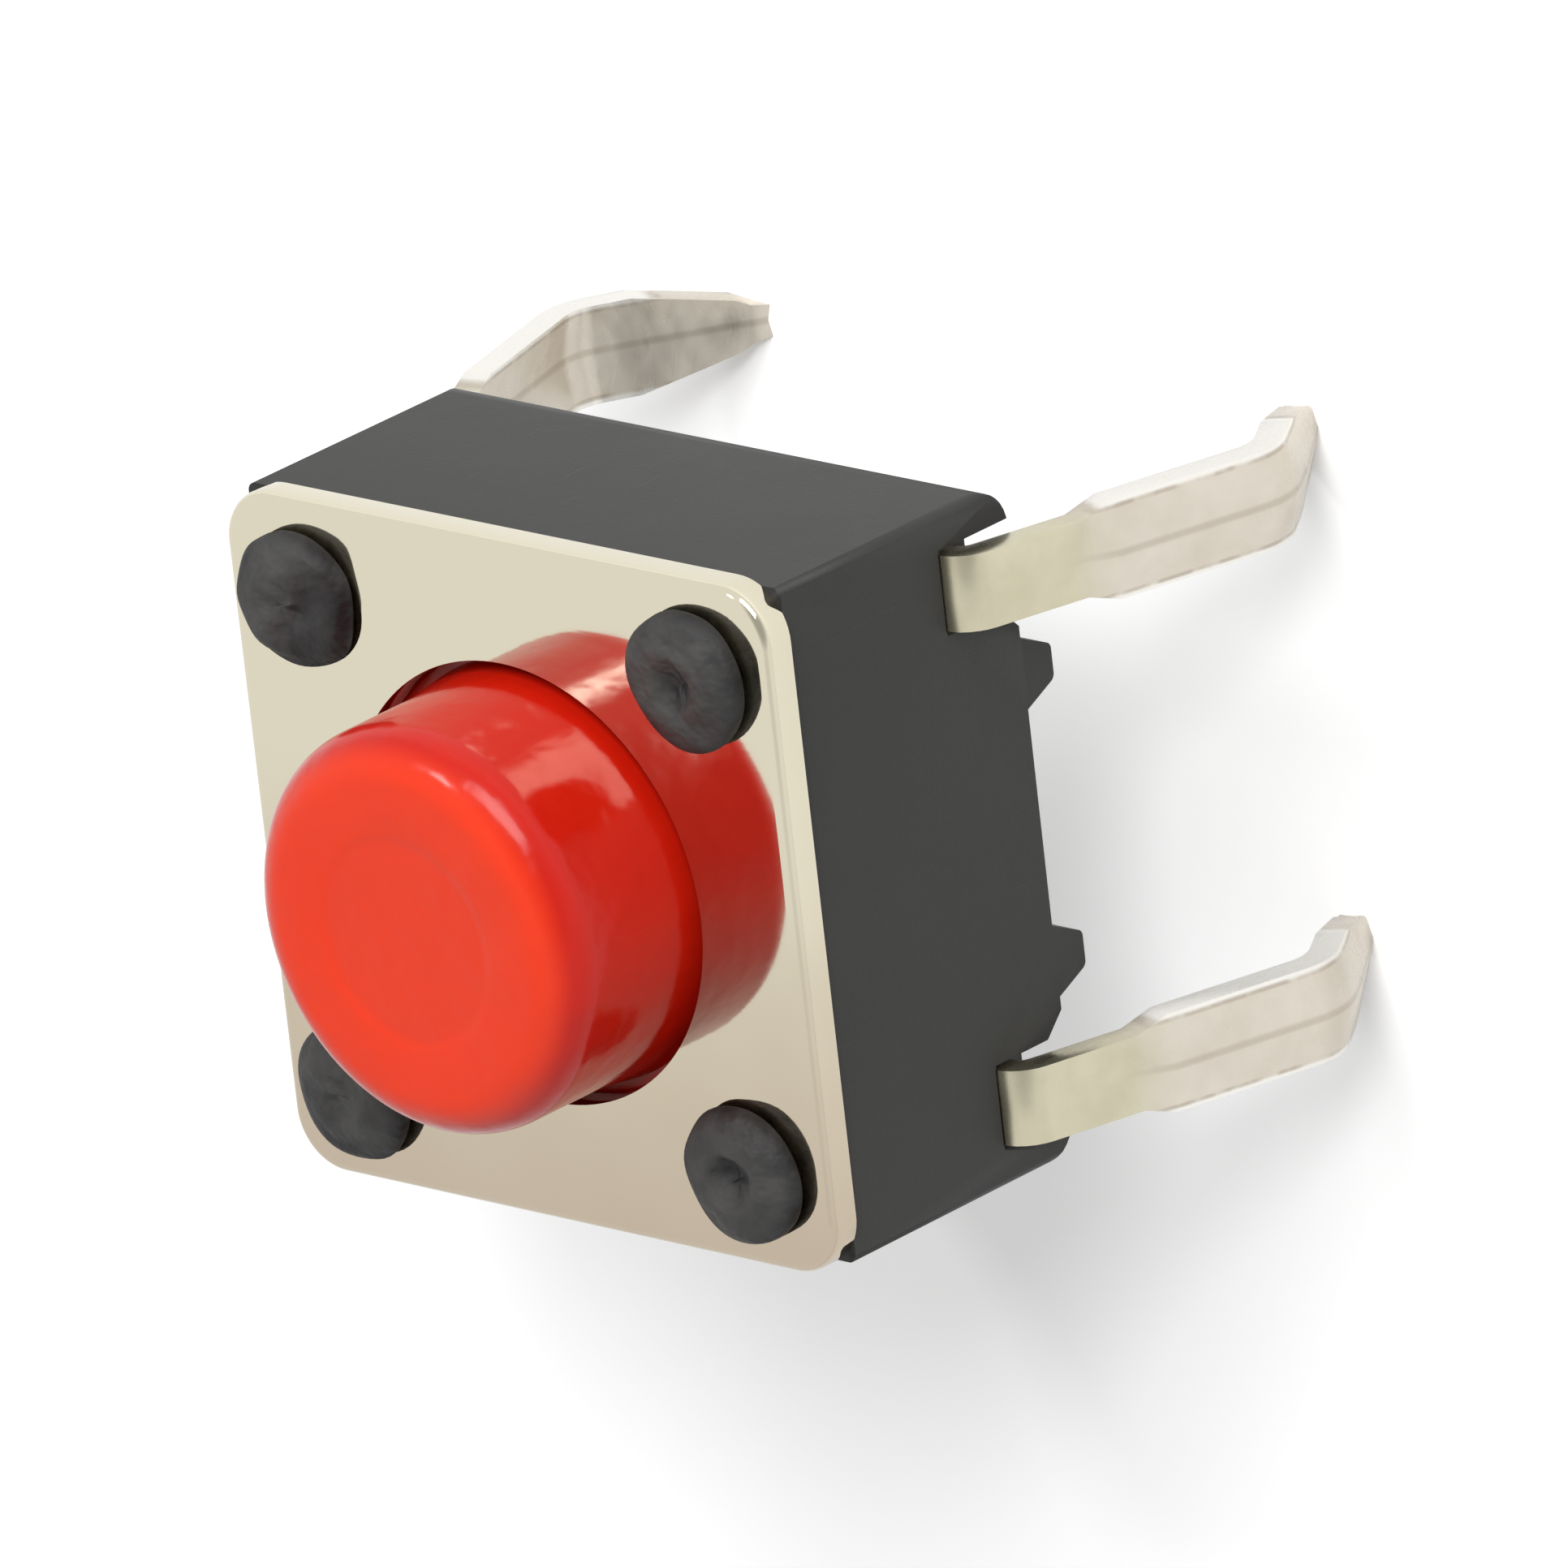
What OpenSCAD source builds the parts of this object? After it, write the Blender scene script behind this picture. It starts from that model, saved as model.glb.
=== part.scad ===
// Tactile push button switch with four through-hole legs.
// Millimetres. The origin is the centre of the seating plane, where the stand-off nubs meet the board.
// +Z points along the button, away from the board, and X runs across the two rows of legs.

/* [Housing] */
// Width of the square cover, along X and Y
body_w = 6.0; // [5.8:0.1:7.0]
// Overhang of the cover beyond each side face of the housing
cover_lip = 0.06; // [0.02:0.01:0.1]
// Height of the moulded base, from its underside to the seat of the cover
base_h = 2.75; // [2.5:0.05:3.2]
// Rounding of the four upright edges
side_r = 0.08; // [0.05:0.01:0.4]
// Rounding of the two lower edges that run along X
lower_r = 0.38; // [0.1:0.02:0.45]
// Height of the contact floor above the underside
floor_h = 0.85; // [0.7:0.05:1.0]
// Depth of the relief in the underside
relief_d = 0.12; // [0.05:0.01:0.2]
// Distance from the side face to the relief, along X and Y
relief_margin = 0.85; // [0.8:0.05:1.2]

/* [Stand-off nubs] */
// Height of the nubs under the housing
nub_h = 0.35; // [0.2:0.05:0.5]
// Distance between a nub's root and the flared mouth of the notch beside it
nub_clear = 0.11; // [0.05:0.01:0.3]
// Width of a nub where it leaves the housing
nub_root_w = 0.62; // [0.5:0.02:0.7]
// Width of a nub at its tip
nub_tip_w = 0.3; // [0.2:0.02:0.4]
// Length of a nub inwards from the side face
nub_l = 0.8; // [0.5:0.05:1.0]
// Rounding of a nub's corners
nub_r = 0.07; // [0.03:0.01:0.09]

/* [Staked posts] */
// Distance of each post's axis from the side faces
post_inset = 0.78; // [0.72:0.01:0.86]
// Radius of a post where it passes through the cover
post_r = 0.42; // [0.36:0.01:0.46]
// Overhang of the staked head beyond the post
head_lip = 0.18; // [0.12:0.01:0.24]
// Height of the staked head above the cover
head_h = 0.3; // [0.2:0.02:0.4]
// Rounding of the head's rim
head_edge = 0.16; // [0.04:0.01:0.18]
// Depth of the dimple that the staking tool leaves
dimple_d = 0.05; // [0.02:0.01:0.1]

/* [Cover] */
// Thickness of the cover
cover_t = 0.3; // [0.2:0.05:0.4]
// Corner radius of the cover
cover_r = 0.5; // [0.3:0.02:0.8]
// Height of the rolled edge on the cover's upper side
roll_edge = 0.08; // [0.03:0.01:0.12]

/* [Button] */
// Distance from the visible stem to the sides of the cover
stem_inset = 1.23; // [1.22:0.01:1.4]
// Widening of the stem's root at the flange
root_flare = 0.07; // [0.03:0.01:0.09]
// Height of the button above the cover
stem_rise = 1.5; // [0.9:0.05:6.0]
// Rounding of the button's front edge
stem_edge = 0.42; // [0.1:0.02:0.46]
// Width of the flat rim between the front's rounding and its faint dish
dish_rim = 0.4; // [0.2:0.05:0.6]
// Depth of the dish
dish_d = 0.03; // [0.01:0.01:0.06]
// Overhang of the flange beyond the stem
flange_lip = 0.3; // [0.25:0.01:0.36]
// Thickness of the flange that the cover keeps in
flange_t = 0.65; // [0.4:0.05:0.8]
// Radius of the nub that presses on the dome
press_r = 0.42; // [0.3:0.02:0.6]
// Height above the cover at which the root's taper ends
root_h = 0.15; // [0.12:0.01:0.25]

/* [Dome] */
// Radial gap between the dome's rim and the cavity
dome_gap = 0.22; // [0.15:0.01:0.3]
// Thickness of the dome's sheet
dome_t = 0.06; // [0.04:0.01:0.08]
// Travel of the button before the dome meets the centre contact
travel = 0.25; // [0.15:0.01:0.3]

/* [Terminals] */
// Thickness of the terminal sheet
strip_t = 0.25; // [0.2:0.01:0.3]
// Width of a leg where it leaves the housing
leg_w = 0.66; // [0.5:0.02:0.7]
// Width of the leg's folded blade
blade_w = 0.86; // [0.6:0.02:0.9]
// Width of the leg's tip
tip_w = 0.26; // [0.2:0.02:0.4]
// Distance of each leg's middle from the nearest side face, along Y
leg_inset = 0.69; // [0.66:0.01:0.76]
// Distance from the housing's side face to the middle of the leg's first bend
leg_out = 0.14; // [0.1:0.01:0.3]
// Radius of the first bend, at the middle of the sheet
bend_r = 0.24; // [0.2:0.02:0.3]
// Distance of the knee beyond the side face
knee_out = 0.95; // [0.6:0.05:1.2]
// Depth of the knee below the seating plane
knee_d = 1.8; // [1.5:0.05:2.1]
// Radius of the knee
knee_r = 0.5; // [0.4:0.05:0.8]
// Distance of the tip beyond the side face
tip_out = 0.06; // [0:0.02:0.8]
// Length of the legs below the seating plane
leg_l = 3.2; // [3.15:0.05:4.0]
// Length of the taper at the tip
taper_l = 1.1; // [0.5:0.05:1.15]
// Height of the crease above the seating plane
crease_h = -0.1; // [-0.3:0.05:0.2]
// Angle by which each half of the blade is folded back
fold_angle = 13; // [5:1:18]
// Width of the notch's flared mouth beyond the notch
notch_flare = 0.2; // [0.1:0.02:0.26]
// Width of the horseshoe contact
shoe_w = 0.53; // [0.4:0.01:0.6]
// Distance between the horseshoe's ends and the strip of the other terminal
shoe_clear = 0.3; // [0.2:0.02:0.5]
// Distance between the horseshoe and the tongue
tongue_clear = 0.2; // [0.1:0.02:0.3]
// Width of the tongue that carries the centre contact
tongue_w = 1.1; // [0.8:0.05:1.3]
// Radius of the centre contact
contact_r = 0.45; // [0.3:0.05:0.7]
// Height of the horseshoe contact above the floor
shoe_h = 0.05; // [0.02:0.01:0.08]
// Height of the centre contact above the floor
contact_h = 0.1; // [0.08:0.01:0.15]

/* [Fits] */
// Radial gap between the visible stem and the cover
stem_gap = 0.15; // [0.1:0.01:0.18]
// Radial gap between the flange and the cavity
flange_gap = 0.08; // [0.05:0.01:0.1]
// Gap between the flange and the cover at rest
lift_gap = 0.03; // [0.01:0.01:0.05]
// Radial gap between a post and its hole
post_gap = 0.03; // [0.02:0.01:0.05]
// Gap all round a terminal where the housing is moulded on it
mould_gap = 0.01; // [0.005:0.005:0.02]
// Gap between the horseshoe contact and the cavity wall
shoe_gap = 0.05; // [0.03:0.01:0.1]
// Gap beside each leg in its notch
notch_gap = 0.04; // [0.02:0.01:0.06]
// Gap between the nub of the button and the dome
press_gap = 0.01; // [0.005:0.005:0.02]

/* [Hidden] */

round_fn = 96;
small_fn = 48;
bend_steps = 8;
side_x = body_w / 2 - cover_lip;
under_z = nub_h;
floor_z = under_z + floor_h;
base_top = under_z + base_h;
cover_top = base_top + cover_t;
front_z = cover_top + stem_rise;
strip_z = floor_z - strip_t / 2;
leg_y = side_x - leg_inset;
notch_w = leg_w + 2 * notch_gap;
notch_d = leg_out + bend_r + strip_t / 2;
nub_y = leg_y - notch_w / 2 - notch_flare - nub_clear - nub_root_w / 2;
post_at = side_x - post_inset;
head_r = post_r + head_lip;
cut = 0.1;
stem_r = body_w / 2 - stem_inset;
dish_r = stem_r - stem_edge - dish_rim;
flange_r = stem_r + flange_lip;
cavity_r = flange_r + flange_gap;
dome_r = cavity_r - dome_gap;
shoe_outer_r = cavity_r - shoe_gap;
shoe_inner_r = shoe_outer_r - shoe_w;
flange_top = base_top - lift_gap;
rim_z = floor_z + shoe_h;
contact_z = floor_z + contact_h;
dome_rise = contact_z + travel - rim_z;
dome_top = rim_z + dome_rise + dome_t;
blade_x = side_x + (leg_out + knee_out) / 2;

black = "#3f3e3c";
steel = "#d3ccb8";
red = "#dc3a26";
tin = "#d8d2c2";
spring = "#b9b8b2";

function unit(v) = v / norm(v);
function left_of(v) = [-v.y, v.x];
function turned(v, a) = [v.x * cos(a) - v.y * sin(a), v.x * sin(a) + v.y * cos(a)];
function reversed(list) = [for (i = [len(list) - 1:-1:0]) list[i]];

// Points on an arc from angle a to angle b
function arc(centre, r, a, b, steps) =
    [for (i = [0:steps]) centre + r * [cos(a + (b - a) * i / steps), sin(a + (b - a) * i / steps)]];

// A bend of the sheet's middle line at corner b, as points that each carry their normal
function bend(a, b, c, r) =
    let(u = unit(b - a))
    let(w = unit(c - b))
    let(angle = atan2(u.x * w.y - u.y * w.x, u * w))
    let(side = sign(angle))
    let(start = b - u * r * tan(abs(angle) / 2))
    let(centre = start + left_of(u) * r * side)
    [for (i = [0:bend_steps])
        let(m = turned(left_of(u), angle * i / bend_steps))
        [centre - m * r * side, m]];

// Square with rounded corners, centred on the axis
module rounded_square(w, r) {
    offset(r = r, $fn = small_fn)
        square(w - 2 * r, center = true);
}

// Extrudes a profile drawn in X and Z along Y, centred on the given place
module along_y(length, y = 0) {
    translate([0, y + length / 2, 0])
        rotate([90, 0, 0])
            linear_extrude(length)
                children();
}

// Extrudes a profile drawn in Y and Z along X, from x to x + length
module along_x(length, x = 0) {
    translate([x, 0, 0])
        rotate([90, 0, 90])
            linear_extrude(length)
                children();
}

// Copies its children to both side faces
module both_sides() {
    children();
    rotate([0, 0, 180])
        children();
}

// Copies its children to the four corners
module four_corners() {
    for (sx = [-1, 1])
        for (sy = [-1, 1])
            translate([sx * post_at, sy * post_at, 0])
                children();
}

// Side view of one leg, from the middle of the strip to the tip
module leg_profile() {
    inner_end = [0, strip_z];
    corner = [side_x + leg_out, strip_z];
    knee = [side_x + knee_out, -knee_d];
    tip = [side_x + tip_out, -leg_l];
    past_tip = tip + strip_t * unit(tip - knee);
    line = concat(
        [[inner_end, left_of(unit(corner - inner_end))]],
        bend(inner_end, corner, knee, bend_r),
        bend(corner, knee, tip, knee_r),
        [[past_tip, left_of(unit(tip - knee))]]);
    upper = [for (q = line) q[0] + q[1] * strip_t / 2];
    lower = [for (q = line) q[0] - q[1] * strip_t / 2];
    polygon(concat(upper, reversed(lower)));
}

// Front view of the blade, from the crease to the tapered tip, as one half beyond the fold
module blade_front(side) {
    polygon([
        [0, crease_h],
        [side * blade_w / 2, crease_h],
        [side * blade_w / 2, taper_l - leg_l],
        [side * tip_w / 2, -leg_l],
        [0, -leg_l]]);
}

// One leg with its half of the strip, at y = 0
module leg() {
    intersection() {
        along_y(leg_w)
            leg_profile();
        translate([0, -leg_w, crease_h])
            cube([body_w + leg_l, 2 * leg_w, base_top]);
    }
    for (side = [-1, 1])
        intersection() {
            translate([blade_x, 0, 0])
                rotate([0, 0, side * fold_angle])
                    translate([-blade_x, 0, 0])
                        along_y(3 * blade_w)
                            leg_profile();
            along_x(side_x + leg_l, side_x / 2)
                blade_front(side);
        }
}

// Both legs of a terminal and the strip between them
module leg_pair(y) {
    translate([0, y, 0]) {
        leg();
        mirror([1, 0, 0])
            leg();
    }
}

// Plan of the centre contact's tongue, grown by the moulding gap for its pocket
module tongue_plan(grow = 0) {
    translate([-tongue_w / 2 - grow, -leg_y])
        square([tongue_w + 2 * grow, leg_y]);
    circle(tongue_w / 2 + grow, $fn = round_fn);
}

// Plan of the horseshoe contact and its root in the strip
module shoe_plan(grow = 0) {
    difference() {
        circle(shoe_outer_r + grow, $fn = round_fn);
        circle(shoe_inner_r - grow, $fn = round_fn);
        translate([-tongue_w / 2 - tongue_clear + grow, -cavity_r - cut])
            square([tongue_w + 2 * (tongue_clear - grow), cavity_r]);
        translate([-cavity_r, -cavity_r - leg_y + leg_w / 2 + shoe_clear - grow])
            square([2 * cavity_r, cavity_r]);
    }
}

// Plan of a strip that crosses the housing
module strip_plan(y, grow = 0) {
    translate([-side_x - cut, y - leg_w / 2 - grow])
        square([body_w + 2 * cut, leg_w + 2 * grow]);
}

// Pocket that the housing's plastic leaves round both terminals
module terminal_pocket() {
    translate([0, 0, floor_z - strip_t - mould_gap])
        linear_extrude(strip_t + 2 * mould_gap) {
            tongue_plan(mould_gap);
            strip_plan(-leg_y, mould_gap);
            shoe_plan(mould_gap);
            strip_plan(leg_y, mould_gap);
        }
}

// Notch that lets a leg turn down beside the housing
module leg_notch(side) {
    inner = leg_y - notch_w / 2;
    outer = leg_y + notch_w / 2;
    along_x(notch_d + cut, side_x - notch_d)
        polygon([
            [side * outer, -cut],
            [side * outer, floor_z],
            [side * inner, floor_z],
            [side * inner, under_z + notch_flare],
            [side * (inner - notch_flare), under_z],
            [side * (inner - notch_flare), -cut]]);
}

// Outline of a stand-off nub, seen along X
module nub_outline() {
    offset(r = nub_r, $fn = small_fn)
        offset(delta = -nub_r)
            polygon([
                [-nub_root_w / 2, under_z],
                [-nub_root_w / 2, under_z + relief_d],
                [nub_root_w / 2, under_z + relief_d],
                [nub_root_w / 2, under_z],
                [nub_tip_w / 2, 0],
                [-nub_tip_w / 2, 0]]);
}

// End view of the housing, with its lower edges rounded
module end_outline() {
    polygon(concat(
        [[side_x, base_top + cut], [-side_x, base_top + cut]],
        arc([lower_r - side_x, under_z + lower_r], lower_r, 180, 270, bend_steps),
        arc([side_x - lower_r, under_z + lower_r], lower_r, 270, 360, bend_steps)));
}

// Half section of a post with its staked head
module post_section() {
    head_top = cover_top + head_h;
    polygon(concat(
        [[0, base_top], [post_r, base_top], [post_r, cover_top], [head_r, cover_top]],
        arc([head_r - head_edge, head_top - head_edge], head_edge, 0, 90, bend_steps),
        [[head_r / 2, head_top], [0, head_top - dimple_d]]));
}

module base_housing() {
    relief_w = 2 * (side_x - relief_margin);
    color(black) {
        difference() {
            intersection() {
                translate([0, 0, under_z])
                    linear_extrude(base_h)
                        rounded_square(2 * side_x, side_r);
                along_x(2 * side_x, -side_x)
                    end_outline();
            }
            translate([0, 0, floor_z])
                cylinder(h = base_h, r = cavity_r, $fn = round_fn);
            translate([0, 0, under_z - cut])
                linear_extrude(relief_d + cut)
                    rounded_square(relief_w, side_r);
            terminal_pocket();
            both_sides() {
                leg_notch(1);
                leg_notch(-1);
            }
        }
        both_sides()
            for (side = [-1, 1])
                translate([0, side * nub_y, 0])
                    along_x(nub_l, side_x - nub_l)
                        nub_outline();
        four_corners()
            rotate_extrude($fn = small_fn)
                post_section();
    }
}

module cover_plate() {
    color(steel)
        difference() {
            hull() {
                translate([0, 0, base_top])
                    linear_extrude(cover_t - roll_edge)
                        rounded_square(body_w, cover_r);
                translate([0, 0, base_top])
                    linear_extrude(cover_t)
                        rounded_square(body_w - 2 * roll_edge, cover_r - roll_edge);
            }
            translate([0, 0, base_top - cut])
                cylinder(h = cover_t + 2 * cut, r = stem_r + stem_gap, $fn = round_fn);
            four_corners()
                translate([0, 0, base_top - cut])
                    cylinder(h = cover_t + 2 * cut, r = post_r + post_gap, $fn = small_fn);
        }
}

module button() {
    flange_z = flange_top - flange_t;
    color(red)
        rotate_extrude($fn = round_fn)
            polygon(concat(
                [
                    [0, dome_top + press_gap],
                    [press_r, dome_top + press_gap],
                    [press_r, flange_z],
                    [flange_r, flange_z],
                    [flange_r, flange_top],
                    [stem_r + root_flare, flange_top],
                    [stem_r, cover_top + root_h]
                ],
                arc([stem_r - stem_edge, front_z - stem_edge], stem_edge, 0, 90, bend_steps),
                [[dish_r, front_z], [dish_r * 0.8, front_z - dish_d], [0, front_z - dish_d]]));
}

module snap_dome() {
    steps = 16;
    bowl = [for (i = [0:steps]) [dome_r * i / steps, rim_z + dome_rise * (1 - pow(i / steps, 2))]];
    color(spring)
        rotate_extrude($fn = round_fn)
            polygon(concat(bowl, reversed([for (q = bowl) q + [0, dome_t]])));
}

module contact_terminal() {
    color(tin) {
        leg_pair(-leg_y);
        translate([0, 0, floor_z - strip_t])
            linear_extrude(strip_t)
                tongue_plan();
        translate([0, 0, floor_z - strip_t])
            cylinder(h = strip_t + contact_h, r = contact_r, $fn = small_fn);
    }
}

module rim_terminal() {
    color(tin) {
        leg_pair(leg_y);
        translate([0, 0, floor_z - strip_t])
            linear_extrude(strip_t + shoe_h)
                shoe_plan();
    }
}

base_housing();
cover_plate();
button();
snap_dome();
contact_terminal();
rim_terminal();
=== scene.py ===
"""Looks of a tactile push button switch: red button, staked black housing, plated cover and tinned legs.

Pieces are modelled in millimetres and brought to metres when they are finished.
"""
import math

import bmesh
import bpy
from mathutils import Matrix, Vector


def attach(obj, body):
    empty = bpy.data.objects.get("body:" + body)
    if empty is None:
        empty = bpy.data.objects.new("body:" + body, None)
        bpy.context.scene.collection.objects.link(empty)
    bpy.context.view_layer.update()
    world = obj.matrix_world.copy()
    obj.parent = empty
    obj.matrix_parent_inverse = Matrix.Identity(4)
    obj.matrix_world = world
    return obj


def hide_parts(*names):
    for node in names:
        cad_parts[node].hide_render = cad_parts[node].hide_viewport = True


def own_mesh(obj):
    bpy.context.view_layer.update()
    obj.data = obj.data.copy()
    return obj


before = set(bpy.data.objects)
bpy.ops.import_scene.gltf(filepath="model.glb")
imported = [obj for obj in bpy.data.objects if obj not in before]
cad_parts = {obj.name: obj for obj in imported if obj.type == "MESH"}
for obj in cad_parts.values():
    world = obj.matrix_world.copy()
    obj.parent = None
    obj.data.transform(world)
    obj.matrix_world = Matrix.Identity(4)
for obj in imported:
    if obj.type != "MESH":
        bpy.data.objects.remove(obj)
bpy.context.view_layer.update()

MM = 0.001
# Millimetres that more than one piece or finish uses
COVER_TOP = 3.4
BUTTON_FRONT = 4.9
POST_AT = 2.16
LEG_ROW = 2.25
LEG_END = -3.2


# Selecting and shaping

def take(piece):
    """Makes a piece the only one that is selected and active."""
    bpy.ops.object.select_all(action="DESELECT")
    piece.select_set(True)
    bpy.context.view_layer.objects.active = piece


def begin(piece):
    """Opens a piece in edit mode."""
    take(piece)
    bpy.ops.object.mode_set(mode="EDIT")


def end():
    """Closes edit mode."""
    bpy.ops.object.mode_set(mode="OBJECT")


def middle(part):
    """Middle of a face or an edge."""
    return sum((v.co for v in part.verts), Vector()) / len(part.verts)


def pick(piece, kind, test):
    """Selects, in edit mode, the faces, edges or vertices that pass a test."""
    bpy.ops.mesh.select_mode(type=kind)
    bpy.ops.mesh.select_all(action="DESELECT")
    shape = bmesh.from_edit_mesh(piece.data)
    for part in {"FACE": shape.faces, "EDGE": shape.edges, "VERT": shape.verts}[kind]:
        if test(part):
            part.select_set(True)
    shape.select_flush_mode()
    bmesh.update_edit_mesh(piece.data)


def push(x=0.0, y=0.0, z=0.0):
    """Extrudes what is selected by a distance."""
    bpy.ops.mesh.extrude_region_move(TRANSFORM_OT_translate={"value": (x, y, z)})


def widen(x, y, z, centre):
    """Scales what is selected from a centre."""
    bpy.ops.transform.resize(value=(x, y, z), center_override=centre)


def slice_off(at, outwards):
    """Cuts the open piece through at a plane, takes away what lies outwards and closes the cut."""
    bpy.ops.mesh.select_all(action="SELECT")
    bpy.ops.mesh.bisect(plane_co=at, plane_no=outwards, clear_outer=True, use_fill=True)


def add(kind, name, **place):
    """Adds a primitive, with its place and size brought into its mesh."""
    bpy.ops.object.select_all(action="DESELECT")
    getattr(bpy.ops.mesh, "primitive_%s_add" % kind)(**place)
    piece = bpy.context.object
    piece.name = name
    bpy.ops.object.transform_apply(location=True, rotation=True, scale=True)
    return piece


def modify(piece, kind, **settings):
    """Adds a modifier and applies it."""
    take(piece)
    step = piece.modifiers.new(kind.title(), kind)
    for name, value in settings.items():
        setattr(step, name, value)
    bpy.ops.object.modifier_apply(modifier=step.name)


def ease_edges(piece, width):
    """Rounds the edges that are sharper than 50 degrees."""
    modify(piece, "BEVEL", width=width, segments=3, limit_method="ANGLE", angle_limit=math.radians(50))


def punch(plate, radius, x, y, vertices):
    """Punches a round hole through the cover plate."""
    tool = add("cylinder", "punch", vertices=vertices, radius=radius, depth=2, location=(x, y, 3.2))
    modify(plate, "BOOLEAN", operation="DIFFERENCE", solver="EXACT", object=tool)
    bpy.data.objects.remove(tool)


def join(pieces, name):
    """Makes several pieces one."""
    take(pieces[0])
    for piece in pieces[1:]:
        piece.select_set(True)
    bpy.ops.object.join()
    bpy.context.object.name = name
    return bpy.context.object


def twin(piece, name, along, flip=False):
    """A copy with its own mesh, shifted along Y, and flipped in X if asked."""
    copy = piece.copy()
    copy.data = piece.data.copy()
    copy.name = name
    bpy.context.collection.objects.link(copy)
    copy.data.transform(Matrix.Translation((0, along, 0)) @ Matrix.Diagonal((-1 if flip else 1, 1, 1, 1)))
    if flip:
        copy.data.flip_normals()
    return copy


def merged_copy(node, name):
    """A copy of a CAD node in millimetres, with its loose triangles merged."""
    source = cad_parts[node]
    copy = source.copy()
    copy.data = source.data.copy()
    copy.data.materials.clear()
    copy.parent = None
    copy.matrix_world = Matrix.Identity(4)
    copy.name = name
    bpy.context.collection.objects.link(copy)
    copy.data.transform(Matrix.Diagonal((1 / MM, 1 / MM, 1 / MM, 1)))
    begin(copy)
    bpy.ops.mesh.select_all(action="SELECT")
    bpy.ops.mesh.remove_doubles(threshold=0.0005)
    end()
    return copy


def finished(piece, angle=35):
    """Brings a piece to metres and smooths it up to an angle, with its large faces kept flat."""
    take(piece)
    piece.scale = (MM, MM, MM)
    bpy.ops.object.transform_apply(location=True, rotation=True, scale=True)
    bpy.ops.object.shade_smooth_by_angle(angle=math.radians(angle))
    modify(piece, "WEIGHTED_NORMAL", keep_sharp=True, weight=70)


# The pieces

def pressed_cover():
    """Cover plate: rounded corners, a rolled upper edge and punched holes."""
    side, seat, guide_hole, post_hole = 6.0, 3.1, 1.92, 0.45
    plate = add("cube", "pressed_cover", size=1, scale=(side, side, COVER_TOP - seat),
                location=(0, 0, (COVER_TOP + seat) / 2))
    begin(plate)
    pick(plate, "EDGE", lambda e: abs(e.verts[0].co.z - e.verts[1].co.z) > 0.1)
    bpy.ops.mesh.bevel(offset=0.5, segments=14, affect="EDGES")
    pick(plate, "EDGE", lambda e: min(v.co.z for v in e.verts) > COVER_TOP - 0.01)
    bpy.ops.mesh.bevel(offset=0.11, segments=6, affect="EDGES")
    end()
    punch(plate, guide_hole, 0, 0, 128)
    for x in (-POST_AT, POST_AT):
        for y in (-POST_AT, POST_AT):
            punch(plate, post_hole, x, y, 48)
    ease_edges(plate, 0.04)
    return plate


def red_button():
    """Button: flange, tapered root, stem with rounded front edge and faint dish, and the nub behind."""
    stem, flange, root, nub = 1.77, 2.07, 1.84, 0.42
    flange_thick, flange_middle, flange_top = 0.65, 2.745, 3.07
    root_rise, nub_length = 0.48, 0.8

    def is_cap(face):
        """Whether a face is one of the two round ends."""
        return len(face.verts) > 60

    button = add("cylinder", "red_button", vertices=128, radius=flange, depth=flange_thick,
                 location=(0, 0, flange_middle))
    begin(button)
    pick(button, "FACE", lambda f: f.normal.z > 0.9)
    bpy.ops.mesh.inset(thickness=flange - root)
    push(z=root_rise)
    widen(stem / root, stem / root, 1, (0, 0, 0))
    push(z=BUTTON_FRONT - flange_top - root_rise)
    pick(button, "EDGE", lambda e: middle(e).z > BUTTON_FRONT - 0.01)
    bpy.ops.mesh.bevel(offset=0.42, segments=12, affect="EDGES")
    pick(button, "FACE", lambda f: is_cap(f) and middle(f).z > flange_top)
    for inwards, dish in ((0.36, 0), (0.08, 0.012), (0.08, 0.018)):
        bpy.ops.mesh.inset(thickness=inwards, depth=-dish)
    pick(button, "FACE", lambda f: is_cap(f) and middle(f).z < flange_top)
    bpy.ops.mesh.inset(thickness=flange - nub)
    push(z=-nub_length)
    pick(button, "EDGE", lambda e: abs(middle(e).z - flange_top) < 0.01 and middle(e).xy.length > 2.0)
    bpy.ops.mesh.bevel(offset=0.06, segments=3, affect="EDGES")
    end()
    return button


def staked_head(name, x, y, turn, seed, dent, slump):
    """Head of a post, upset by a hot tool: a lopsided dome with a dent and one slumped side."""
    post, brim = 0.43, 0.62
    crown = (0.1, 0.02), (0.09, 0.01)
    hollow = (0.09, -dent * 0.5), (0.08, -dent * 0.4), (0.06, -dent * 0.1)
    head = add("cylinder", name, vertices=14, radius=post, depth=0.22, location=(0, 0, 3.3))
    begin(head)
    pick(head, "FACE", lambda f: f.normal.z > 0.9)
    for rise, share in ((0.004, brim / post), (0.08, 1.0), (0.08, 0.97), (0.06, 0.9), (0.04, 0.84)):
        push(z=rise)
        widen(share, share, 1, (0, 0, COVER_TOP))
    for inwards, rise in crown + hollow:
        bpy.ops.mesh.inset(thickness=inwards, depth=rise)
    pick(head, "VERT", lambda v: v.co.z > COVER_TOP + 0.04)
    bpy.ops.transform.vertex_random(offset=0.036, uniform=1.0, seed=seed)
    pick(head, "VERT", lambda v: v.co.z > COVER_TOP + 0.1 and v.co.x > 0.08)
    bpy.ops.transform.translate(value=(0.012, 0, -slump))
    end()
    modify(head, "SUBSURF", levels=2, render_levels=2)
    head.data.transform(Matrix.Translation((x, y, 0)) @ Matrix.Rotation(math.radians(turn), 4, "Z"))
    return head


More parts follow.
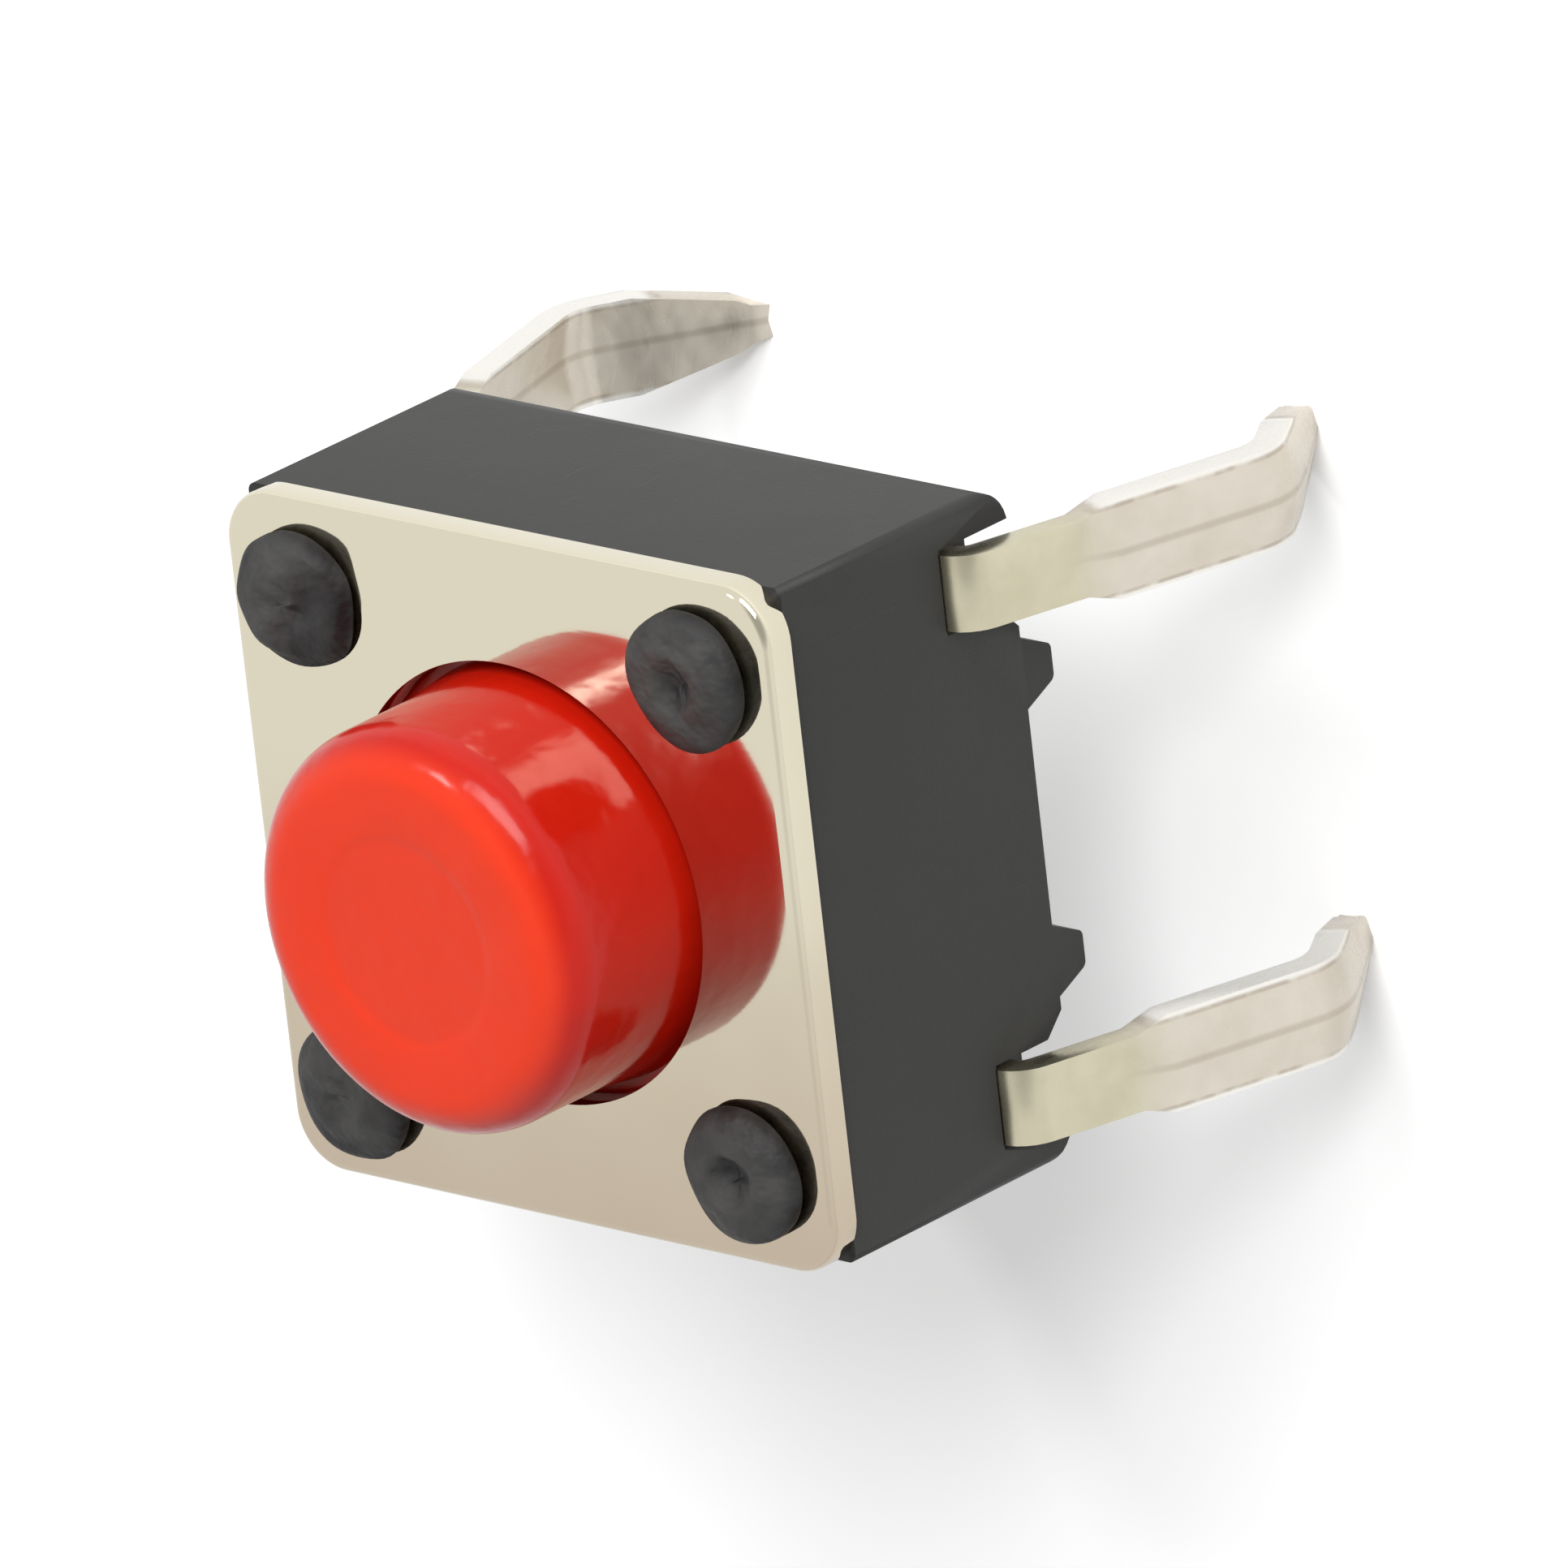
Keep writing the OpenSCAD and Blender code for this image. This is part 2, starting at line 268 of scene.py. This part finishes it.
def housing_shell():
    """Moulded housing, its posts cut off inside the cover's holes, where the modelled heads take over."""
    post_cut = 3.27
    shell = merged_copy("base_housing", "housing_shell")
    begin(shell)
    slice_off((0, 0, post_cut), (0, 0, 1))
    end()
    return shell


def leg(name):
    """One leg at +X on y = 0: strip, first bend, folded blade, knee and tapered tip."""
    thick, wide, broad, height = 0.25, 0.66, 0.86, 1.075
    narrow_run, flare, fold_depth, taper_run = 0.9, 0.3, 0.1, 1.1
    corner, corner_radius = Vector((3.08, 0, height)), 0.24
    knee, knee_radius = Vector((3.89, 0, -1.8)), 0.5
    tip = Vector((3.0, 0, LEG_END))
    start, stub = 2.54, 0.1

    strip = add("cube", name, size=1, scale=(stub, wide, thick), location=(start - stub / 2, 0, height))
    begin(strip)
    bpy.ops.mesh.select_all(action="SELECT")
    bpy.ops.mesh.bisect(plane_co=(0, 0, 0), plane_no=(0, 1, 0))
    pick(strip, "FACE", lambda f: f.normal.x > 0.9)
    state = {"at": Vector((start, 0, height)), "down": 0.0}

    def ahead(length):
        """Extrudes the open end along its own direction."""
        step = Vector((math.cos(state["down"]), 0, -math.sin(state["down"]))) * length
        push(step.x, 0, step.z)
        state["at"] += step

    def bend(angle, radius, steps=6):
        """Turns the open end down by an angle, about a centre below the strip."""
        centre = state["at"] + Vector((-math.sin(state["down"]), 0, -math.cos(state["down"]))) * radius
        for _ in range(steps):
            push()
            turn = Matrix.Rotation(angle / steps, 4, "Y")
            bpy.ops.transform.rotate(value=-angle / steps, orient_axis="Y", center_override=centre)
            state["at"] = centre + turn @ (state["at"] - centre)
            state["down"] += angle / steps

    def fold(depth):
        """Moves the middle of the open end outwards, which folds both halves of the blade back."""
        shape = bmesh.from_edit_mesh(strip.data)
        shape.verts.index_update()
        rim = {v.index for v in shape.verts if v.select}
        pick(strip, "VERT", lambda v: v.index in rim and abs(v.co.y) < 0.001)
        outwards = Vector((math.sin(state["down"]), 0, math.cos(state["down"])))
        bpy.ops.transform.translate(value=outwards * depth)
        pick(strip, "FACE", lambda f: all(v.index in rim for v in f.verts))

    first = math.atan2(corner.z - knee.z, knee.x - corner.x)
    second = math.atan2(knee.z - tip.z, tip.x - knee.x)
    corner_reach = corner_radius * math.tan(first / 2)
    knee_reach = knee_radius * math.tan((second - first) / 2)
    ahead(corner.x - corner_reach - start)
    bend(first, corner_radius)
    ahead(narrow_run)
    ahead(flare)
    widen(1, broad / wide, 1, state["at"])
    fold(fold_depth)
    ahead((knee - corner).length - corner_reach - knee_reach - narrow_run - flare)
    bend(second - first, knee_radius)
    ahead((tip - knee).length - knee_reach - taper_run)
    # The taper runs a little past the tip, and is then cut level with the floor.
    for length, share in ((0.55, 0.72), (0.35, 0.74), (0.12, 0.72), (0.22, 0.8)):
        ahead(length)
        widen(1, share, 1, state["at"])
        fold((share - 1) * fold_depth)
        fold_depth *= share
    slice_off((0, 0, LEG_END), (0, 0, -1))
    end()
    ease_edges(strip, 0.03)
    return strip


def terminal(node, name, row, pattern):
    """A terminal: the contact inside as in the CAD, and its two legs."""
    contact_end = 2.46
    inside = merged_copy(node, name)
    begin(inside)
    for side in (-1, 1):
        slice_off((side * contact_end, 0, 0), (side, 0, 0))
    end()
    right = twin(pattern, name + "_right", row)
    left = twin(pattern, name + "_left", row, flip=True)
    return join([inside, right, left], name)


cover = pressed_cover()
button = red_button()
shell = housing_shell()
heads = [
    staked_head("head_back_left", -POST_AT, POST_AT, -40, 3, 0.05, 0.12),
    staked_head("head_back_right", POST_AT, POST_AT, 250, 8, 0.13, 0.03),
    staked_head("head_front_right", POST_AT, -POST_AT, 160, 5, 0.17, 0.02),
    staked_head("head_front_left", -POST_AT, -POST_AT, 230, 11, 0.05, 0.05),
]
leg_pattern = leg("leg_pattern")
contact_strip = terminal("contact_terminal", "contact_strip", -LEG_ROW, leg_pattern)
rim_strip = terminal("rim_terminal", "rim_strip", LEG_ROW, leg_pattern)
bpy.data.objects.remove(leg_pattern)
dome = merged_copy("snap_dome", "spring_dome")
for piece in (cover, button, *heads, dome):
    finished(piece)
for piece in (shell, contact_strip, rim_strip):
    finished(piece, 25)


# Finishes

class Wire:
    """A shader value on which sums can be written; every sum adds its node."""

    def __init__(self, tree, socket):
        self.tree = tree
        self.socket = socket

    def node(self, kind, settings=None, inputs=None, out=0):
        """Any other node: its type and settings, then its inputs' values or links."""
        made = self.tree.nodes.new(kind)
        for name, value in (settings or {}).items():
            setattr(made, name, value)
        for name, value in (inputs or {}).items():
            if isinstance(value, Wire):
                self.tree.links.new(value.socket, made.inputs[name])
            else:
                made.inputs[name].default_value = value
        return Wire(self.tree, made.outputs[out])

    def sum(self, operation, a, b=0.0):
        """A Math node."""
        return self.node("ShaderNodeMath", {"operation": operation}, {0: a, 1: b})

    def __add__(self, other):
        return self.sum("ADD", self, other)

    def __sub__(self, other):
        return self.sum("SUBTRACT", self, other)

    def __mul__(self, other):
        return self.sum("MULTIPLY", self, other)

    def __rsub__(self, other):
        return self.sum("SUBTRACT", other, self)

    __radd__ = __add__
    __rmul__ = __mul__

    def larger(self, other):
        """The larger of two values."""
        return self.sum("MAXIMUM", self, other)

    def unsigned(self):
        """The value without its sign."""
        return self.sum("ABSOLUTE", self)

    def over(self, low, high):
        """0 below low and 1 above high, with a soft step between."""
        return self.node("ShaderNodeMapRange", {"interpolation_type": "SMOOTHSTEP"},
                         {"Value": self, "From Min": low, "From Max": high})

    def blend(self, first, second):
        """Goes from the first colour to the second as this value goes from 0 to 1."""
        return self.node("ShaderNodeMix", {"data_type": "RGBA"}, {0: self, 6: first, 7: second}, out=2)

    def noise(self, per_mm, detail=2.0):
        """Noise on millimetre coordinates, from 0 to 1."""
        return self.node("ShaderNodeTexNoise", {}, {"Vector": self, "Scale": per_mm, "Detail": detail})

    def along(self, axis):
        """One coordinate: 0 for X, 1 for Y and 2 for Z."""
        return self.node("ShaderNodeSeparateXYZ", {}, {"Vector": self}, out=axis)

    def stretched(self, x, y, z):
        """Coordinates times a number in each direction."""
        return self.node("ShaderNodeMapping", {"vector_type": "POINT"}, {"Vector": self, "Scale": (x, y, z)})


def shade(red, green, blue):
    """A colour, as shader sockets take it."""
    return (red, green, blue, 1.0)


def finish(name, paint, **constants):
    """A material; paint gets millimetre coordinates and returns the colour, roughness and height there."""
    material = bpy.data.materials.new(name)
    material.use_nodes = True
    tree = material.node_tree
    surface = tree.nodes["Principled BSDF"]
    place = tree.nodes.new("ShaderNodeTexCoord")
    mm = Wire(tree, place.outputs["Object"]).stretched(1 / MM, 1 / MM, 1 / MM)
    for socket, value in constants.items():
        surface.inputs[socket.replace("_", " ")].default_value = value
    varied = paint(mm)
    height = varied.pop("Height")
    varied["Normal"] = mm.node("ShaderNodeBump", {}, {"Strength": 1.0, "Distance": MM, "Height": height})
    for socket, value in varied.items():
        tree.links.new(value.socket, surface.inputs[socket])
    return material


def black_moulding(mm):
    """Satin black with a fine grain, faint clouds and a few drawn scratches."""
    grain = mm.noise(28, 3)
    cloud = mm.noise(0.9, 3)
    mottle = cloud * 0.7 + grain * 0.3
    scratch = mm.stretched(1.2, 1, 0.05).noise(16, 1).over(0.72, 0.76) * mm.noise(1.1).over(0.5, 0.62)
    return {
        "Base Color": mottle.blend(shade(0.022, 0.022, 0.021), shade(0.038, 0.038, 0.036)),
        "Roughness": 0.4 + cloud * 0.14 + grain * 0.06 - scratch * 0.12,
        "Height": grain * 0.0025 + cloud * 0.012 - scratch * 0.003,
    }


def upset_plastic(mm):
    """Black plastic that was melted and pressed, with painted light: greyer on the top of the head and darker
    in its dents and slumped side, standing in for its shading.
    """
    lumps = mm.noise(2.6, 3)
    grain = mm.noise(20, 3)
    # Painted light: the head is greyer the higher it stands, so its top reads lit and its dents and slumped
    # side read shaded.
    painted_top_light = mm.along(2).over(3.5, 3.7)
    lumps_and_painted_light = lumps.over(0.3, 0.7) * 0.4 + painted_top_light * 0.6
    return {
        "Base Color": lumps_and_painted_light.blend(shade(0.004, 0.003, 0.004), shade(0.058, 0.057, 0.055)),
        "Roughness": 0.5 + lumps * 0.25,
        "Height": mm.noise(4.2, 2) * 0.07 + grain * 0.006,
    }


def warm_plating(mm):
    """Mirror-smooth warm silver with slow waves and rolling lines, and a painted reflection that makes it
    browner towards -Y.
    """
    rolling = mm.stretched(0.06, 3.5, 1).noise(4, 3)
    wave = mm.noise(0.45, 1)
    # Painted reflection: a patchy brown that grows towards -Y, as if the plate mirrored something brown below
    # it.
    painted_brown_reflection = (mm.noise(0.32, 3) * 3.2 - mm.along(1)).over(0.2, 4.8)
    return {
        "Base Color": painted_brown_reflection.blend(shade(0.71, 0.66, 0.515), shade(0.535, 0.45, 0.345)),
        "Roughness": 0.03 + rolling * 0.05,
        "Height": wave * 0.02 + rolling * 0.0002,
    }


def red_moulding(mm):
    """Glossy red with painted light: deeper red on the sides as painted shade, brighter towards the front as
    painted light, and duller on its flat.
    """
    up = mm.along(2)
    # Painted light and shade: the front is paler red as if lit, and the sides deeper red as if shaded.
    front = up.over(4.7, BUTTON_FRONT)
    flat = up.over(4.85, 4.895)
    cloud = mm.noise(0.8, 3)
    grain = mm.noise(22, 2)
    return {
        "Base Color": (front * 0.8 + cloud * 0.2).blend(shade(0.45, 0.006, 0.002), shade(0.77, 0.04, 0.008)),
        "Roughness": 0.17 + flat * 0.21 + cloud * 0.06,
        "Height": mm.noise(2.1, 2) * 0.022 + grain * 0.0006,
    }


def tin_plating(mm):
    """Drawn tin: yellower at the leg's root, and a creased blade with painted shade along its crease, a
    broken painted shade line inside its edges and painted highlights on its edges.
    """
    drawn = mm.stretched(3, 0.25, 0.25).noise(6, 3)
    spots = mm.noise(2.6, 3)
    root = mm.along(2).over(-0.3, 0.3)
    blade = 1 - root
    from_crease = (mm.along(1).unsigned() - LEG_ROW).unsigned()
    # Painted shade: a dark line along the blade's fold.
    painted_crease_shade = blade * (1 - from_crease.over(0.01, 0.05))
    # Painted shade: a broken dark line just inside the bright edges of the blade.
    edge_shade_line = from_crease.over(0.35, 0.375) * (1 - from_crease.over(0.385, 0.41))
    painted_edge_shade = blade * edge_shade_line * mm.noise(4, 2).over(0.35, 0.6)
    # Painted highlight: a near-white band along the blade's edges.
    painted_edge_highlight = from_crease.over(0.37, 0.41)
    pale = root.blend(shade(0.74, 0.69, 0.61), shade(0.7, 0.66, 0.5))
    dull = root.blend(shade(0.58, 0.52, 0.43), shade(0.52, 0.48, 0.34))
    face = painted_edge_highlight.blend(spots.blend(dull, pale), shade(0.86, 0.84, 0.79))
    return {
        "Base Color": (painted_crease_shade * 0.35 + painted_edge_shade * 0.5).blend(face, shade(0.33, 0.27, 0.2)),
        "Roughness": 0.16 + drawn * 0.16 + spots * 0.08,
        "Height": drawn * 0.0006 + mm.noise(1.6, 2) * 0.012,
    }


def spring_sheet(mm):
    """Spring steel with fine rolling lines."""
    rolled = mm.stretched(0.1, 5, 1).noise(8, 3)
    return {
        "Base Color": rolled.blend(shade(0.5, 0.5, 0.48), shade(0.63, 0.63, 0.6)),
        "Roughness": 0.2 + rolled * 0.14,
        "Height": rolled * 0.0008,
    }


black = finish("satin_black_moulding", black_moulding, Specular_IOR_Level=0.28)
upset = finish("heat_staked_black", upset_plastic, Specular_IOR_Level=0.3)
plating = finish("warm_silver_plating", warm_plating, Metallic=1.0)
red = finish("glossy_red_moulding", red_moulding,
             Specular_IOR_Level=0.24, Coat_Weight=0.05, Coat_Roughness=0.06)
tin = finish("bright_tin_plating", tin_plating, Metallic=1.0)
spring = finish("rolled_spring_steel", spring_sheet, Metallic=1.0)


def dress(piece, material, slot, body, *nodes):
    """Gives a piece its finish, its body and the CAD nodes that it stands for."""
    piece.data.materials.clear()
    piece.data.materials.append(material)
    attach(piece, body)
    if nodes:
        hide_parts(*nodes)


dress(cover, plating, "cover_plating", "switch_body", "cover_plate")
dress(button, red, "button_plastic", "button", "button")
dress(shell, black, "housing_plastic", "switch_body", "base_housing")
for head in heads:
    dress(head, upset, "housing_plastic", "switch_body")
dress(contact_strip, tin, "terminal_tin", "switch_body", "contact_terminal")
dress(rim_strip, tin, "terminal_tin", "switch_body", "rim_terminal")
dress(dome, spring, "dome_steel", "switch_body", "snap_dome")
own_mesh(dome)


# Floor, light and camera

def ray_kinds(tree):
    """Three masks: rays from the camera, from something glossy, and through something clear."""
    rays = tree.nodes.new("ShaderNodeLightPath")
    return [Wire(tree, rays.outputs["Is %s Ray" % kind]) for kind in ("Camera", "Glossy", "Transmission")]


def white_table():
    """White to the camera and to mirrored rays, a little duller to the light that it throws back."""
    material = bpy.data.materials.new("white_table")
    material.use_nodes = True
    tree = material.node_tree
    surface = tree.nodes["Principled BSDF"]
    surface.inputs["Roughness"].default_value = 0.9
    surface.inputs["Specular IOR Level"].default_value = 0.0
    surface.inputs["Emission Strength"].default_value = 1.0
    seen, mirrored, _ = ray_kinds(tree)
    colour = seen.larger(mirrored).blend(shade(0.8, 0.8, 0.8), shade(0.97, 0.97, 0.97))
    lift = seen.blend(shade(0, 0, 0), shade(0.17, 0.17, 0.17))
    tree.links.new(colour.socket, surface.inputs["Base Color"])
    tree.links.new(lift.socket, surface.inputs["Emission Color"])
    return material


def white_room():
    """White as it is seen, half as strong where it lights the object, and with one dark wall in mirrors."""
    dark_wall = 0.6, 0.3, 0.74
    world = bpy.data.worlds.new("white_room")
    world.use_nodes = True
    tree = world.node_tree
    sky = tree.nodes["Background"]
    seen, mirrored, through = ray_kinds(tree)
    shown = seen.larger(mirrored.larger(through))
    way = Wire(tree, tree.nodes.new("ShaderNodeTexCoord").outputs["Generated"])
    facing = way.node("ShaderNodeVectorMath", {"operation": "DOT_PRODUCT"}, {0: way, 1: dark_wall}, out=1)
    darker = mirrored * facing.over(0.7, 0.97)
    tree.links.new((0.5 + shown * 0.5 - darker * 0.5).socket, sky.inputs["Strength"])
    sky.inputs["Color"].default_value = shade(1, 1, 1)
    return world


def aimed(name, kind, towards, distance, **settings):
    """A lamp in a direction from the object, pointing back at it."""
    data = bpy.data.lights.new(name, kind)
    for setting, value in settings.items():
        setattr(data, setting, value)
    lamp = bpy.data.objects.new(name, data)
    way = Vector(towards).normalized()
    lamp.matrix_world = Matrix.Translation(way * distance) @ way.to_track_quat("Z", "Y").to_matrix().to_4x4()
    bpy.context.collection.objects.link(lamp)
    return lamp


def camera():
    """A camera with the place, aim and roll that were fitted to the photograph's outlines."""
    data = bpy.data.cameras.new("camera")
    data.lens = 720
    data.sensor_width = 36
    data.clip_start, data.clip_end = 0.001, 10
    eye = bpy.data.objects.new("camera", data)
    bpy.context.collection.objects.link(eye)
    place = Vector((168.296, 88.552, 175.247)) * MM
    target = Vector((0.093, -0.176, 0.348)) * MM
    roll = math.radians(-116.15)
    back = (place - target).normalized()
    level = Vector((0, 0, 1)).cross(back).normalized()
    rise = back.cross(level)
    right = level * math.cos(roll) + rise * math.sin(roll)
    turn = Matrix((right, back.cross(right), back)).transposed()
    eye.matrix_world = Matrix.Translation(place) @ turn.to_4x4()
    return eye


bpy.ops.mesh.primitive_plane_add(size=1.2, location=(0, 0, LEG_END * MM))
floor = bpy.context.object
floor.name = "floor"
floor.data.materials.append(white_table())

key = aimed("key_light", "SUN", (0.5, 0.5, 0.7), 0.2, energy=0.88, angle=math.radians(14))
key.visible_glossy = False
aimed("ceiling_light", "AREA", (0.35, 0.75, 0.55), 0.25,
      energy=0.41, shape="RECTANGLE", size=0.16, size_y=0.1)
aimed("window_light", "AREA", (-0.3, 0.6, 0.73), 0.25,
      energy=0.08, shape="RECTANGLE", size=0.03, size_y=0.03)

bpy.context.scene.world = white_room()
bpy.context.scene.camera = camera()
bpy.context.scene.view_settings.view_transform = "Standard"
